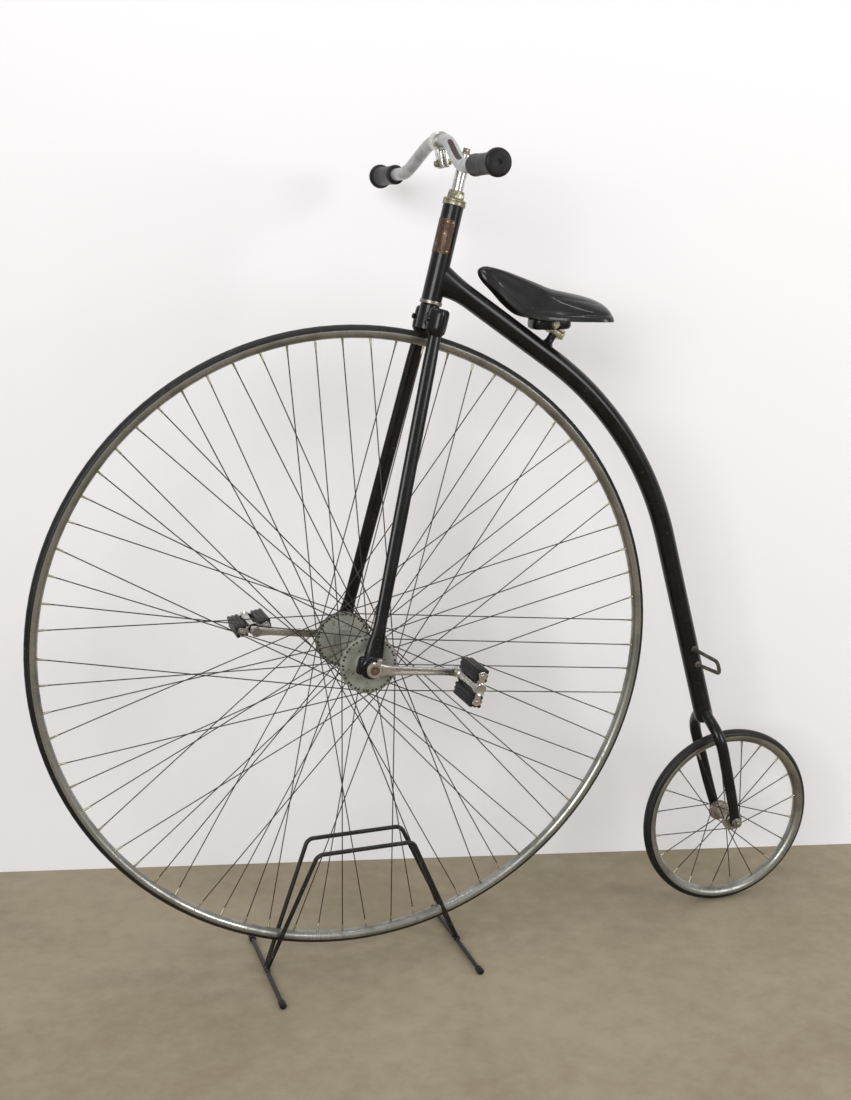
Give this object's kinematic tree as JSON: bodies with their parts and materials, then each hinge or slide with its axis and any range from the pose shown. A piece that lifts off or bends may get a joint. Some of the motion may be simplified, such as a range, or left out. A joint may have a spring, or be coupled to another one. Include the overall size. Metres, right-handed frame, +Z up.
{
  "type": "penny farthing bicycle",
  "caption": "Black penny farthing bicycle with a large spoked front wheel and a small rear wheel, held upright by a black rod stand.",
  "frame": {"origin": "on the floor, on the bicycle's middle plane, midway between the front of the big tyre and the back of the small one", "axes": "+X to the rear of the bicycle, +Y to its right, +Z up"},
  "size_m": [1.6754, 0.694, 1.6291],
  "materials": {
    "tyre_black": "solid black rubber, slightly dusty",
    "rubber_black": "matte black rubber",
    "chrome_worn": "chrome with brown rust freckles",
    "zinc_grey": "dull grey plated metal",
    "steel_dull": "bare dull steel with brown tarnish",
    "bar_silver": "silver-grey paint with a brown worn patch",
    "plate_brass": "blank tarnished plate",
    "saddle_black": "glossy black leather",
    "enamel_black": "black gloss enamel, lightly worn"
  },
  "bodies": {
    "fork": {"fork_crown": "enamel_black", "fork_leg_left": "enamel_black", "fork_leg_right": "enamel_black", "axle_housing_left": "enamel_black", "axle_housing_right": "enamel_black", "steerer": "steel_dull", "head_lock_nut": "chrome_worn", "stem": "chrome_worn", "stem_bolt": "chrome_worn", "clamp_bolt": "chrome_worn", "handlebar": "bar_silver", "grip_left": "rubber_black", "grip_right": "rubber_black", "stand_hoop_left": "enamel_black", "stand_hoop_right": "enamel_black", "stand_foot_front": "enamel_black", "stand_foot_rear": "enamel_black", "stand_caps": "rubber_black"},
    "front_wheel": {"front_tyre": "tyre_black", "front_rim": "zinc_grey", "front_spokes_left": "steel_dull", "front_spokes_right": "steel_dull", "front_hub": "zinc_grey", "crank_spindle": "steel_dull", "crank_left": "chrome_worn", "crank_right": "chrome_worn", "crank_cotters": "chrome_worn", "pedal_pin_left": "steel_dull", "pedal_pin_right": "steel_dull"},
    "pedal_left": {"pedal_cage_left": "chrome_worn", "pedal_blocks_left": "rubber_black"},
    "pedal_right": {"pedal_cage_right": "chrome_worn", "pedal_blocks_right": "rubber_black"},
    "frame": {"head_tube": "enamel_black", "head_cup_lower": "chrome_worn", "head_cup_upper": "chrome_worn", "head_plate": "plate_brass", "backbone": "enamel_black", "seat_post": "enamel_black", "saddle_clamp": "chrome_worn", "saddle": "saddle_black", "step": "steel_dull", "rear_fork_left": "enamel_black", "rear_fork_right": "enamel_black", "rear_axle": "steel_dull"},
    "rear_wheel": {"rear_hub": "steel_dull", "rear_spokes": "steel_dull", "rear_rim": "zinc_grey", "rear_tyre": "tyre_black"}
  },
  "joints": [
    {"name": "front_wheel_spin", "type": "hinge", "parent": "fork", "child": "front_wheel", "pos_m": [-0.21275, 0, 0.669], "axis": [0, 1, 0], "continuous": true},
    {"name": "pedal_left_spin", "type": "hinge", "parent": "front_wheel", "child": "pedal_left", "pos_m": [-0.04407, -0.205, 0.64784], "axis": [0, 1, 0], "continuous": true},
    {"name": "pedal_right_spin", "type": "hinge", "parent": "front_wheel", "child": "pedal_right", "pos_m": [-0.38143, 0.205, 0.69016], "axis": [0, 1, 0], "continuous": true},
    {"name": "steering", "type": "hinge", "parent": "fork", "child": "frame", "pos_m": [-0.02602, 0, 1.41745], "axis": [0.2571, 0, 0.9664], "range_deg": [-60, 60]},
    {"name": "rear_wheel_spin", "type": "hinge", "parent": "frame", "child": "rear_wheel", "pos_m": [0.63525, 0, 0.2025], "axis": [0, 1, 0], "continuous": true}
  ]
}
